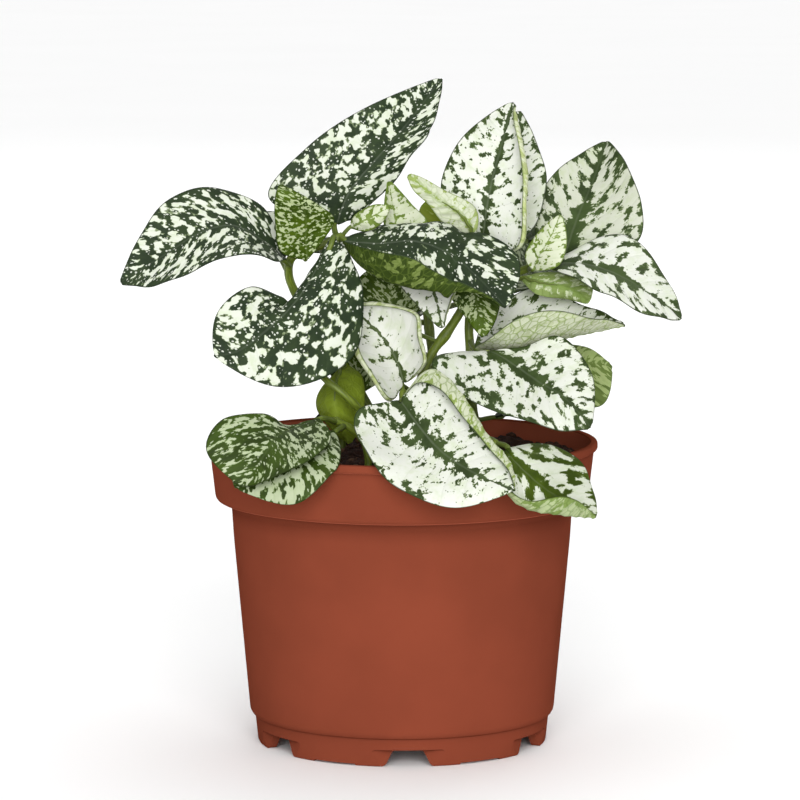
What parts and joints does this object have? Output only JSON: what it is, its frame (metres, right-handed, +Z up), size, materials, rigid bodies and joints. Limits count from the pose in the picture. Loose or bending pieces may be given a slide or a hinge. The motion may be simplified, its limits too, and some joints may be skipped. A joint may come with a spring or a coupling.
{
  "type": "potted plant",
  "caption": "Bushy potted plant with green and white splashed leaves on thin stems, in a round terracotta-coloured plastic nursery pot with a deep collar and notched foot",
  "frame": {"origin": "on the pot's axis at the level of the surface that the pot stands on", "axes": "+Z up, -Y towards the front of the plant, +X to the right as seen from the front"},
  "size_m": [0.1674, 0.1442, 0.202],
  "materials": {
    "pot_plastic": "satin, terracotta coloured",
    "soil": "rough, dark, crumbly potting soil",
    "stem_green": "satin, olive green",
    "leaf_dark_green": "satin, dark green with white splashes",
    "leaf_mid_green": "satin, green with fine white specks",
    "leaf_young_green": "satin, yellowish green",
    "leaf_pale_green": "satin, pale green",
    "leaf_white": "satin, white with green along the veins"
  },
  "bodies": {
    "root": {"pot": "pot_plastic", "soil": "soil", "stem_left": "stem_green", "stem_left_side": "stem_green", "stem_middle": "stem_green", "stem_right": "stem_green", "stem_front": "stem_green", "stem_front_left": "stem_green", "stem_front_right": "stem_green", "stem_back": "stem_green", "stem_back_left": "stem_green", "leaf_top_left": "leaf_dark_green", "leaf_far_left": "leaf_dark_green", "leaf_young_left": "leaf_young_green", "leaf_saddle_left": "leaf_dark_green", "leaf_bud_low": "leaf_young_green", "leaf_young_low": "leaf_young_green", "leaf_rim_left_upper": "leaf_mid_green", "leaf_rim_left_lower": "leaf_mid_green", "leaf_front_white": "leaf_white", "leaf_rim_right": "leaf_pale_green", "leaf_cupped_centre": "leaf_white", "leaf_right_lower": "leaf_white", "leaf_right_lower_back": "leaf_pale_green", "leaf_right_folded": "leaf_white", "leaf_far_right": "leaf_white", "leaf_top_right": "leaf_white", "leaf_top_centre": "leaf_white", "leaf_top_centre_back": "leaf_white", "leaf_young_right": "leaf_young_green", "leaf_rolled_right": "leaf_pale_green", "leaf_centre_dark": "leaf_dark_green", "leaf_hanging_white": "leaf_white", "leaf_hanging_dark": "leaf_mid_green", "leaf_rolled_centre": "leaf_pale_green", "leaf_pale_centre": "leaf_pale_green", "leaf_young_centre": "leaf_pale_green", "leaf_olive_centre": "leaf_young_green", "leaf_shaded_centre": "leaf_dark_green", "leaf_left_inner": "leaf_dark_green", "leaf_right_inner": "leaf_mid_green", "leaf_right_low": "leaf_dark_green", "leaf_back_left_inner": "leaf_white", "leaf_back_left_rim": "leaf_dark_green", "leaf_back_left_base": "leaf_mid_green", "leaf_back_left_low": "leaf_dark_green", "leaf_back_right_low": "leaf_mid_green", "leaf_back_left_high": "leaf_dark_green", "leaf_back_right_high": "leaf_white", "leaf_back_centre": "leaf_dark_green", "leaf_back_rim": "leaf_mid_green", "leaf_back_right_mid": "leaf_mid_green", "leaf_back_left_mid": "leaf_dark_green", "leaf_back_top": "leaf_white"}
  },
  "joints": []
}
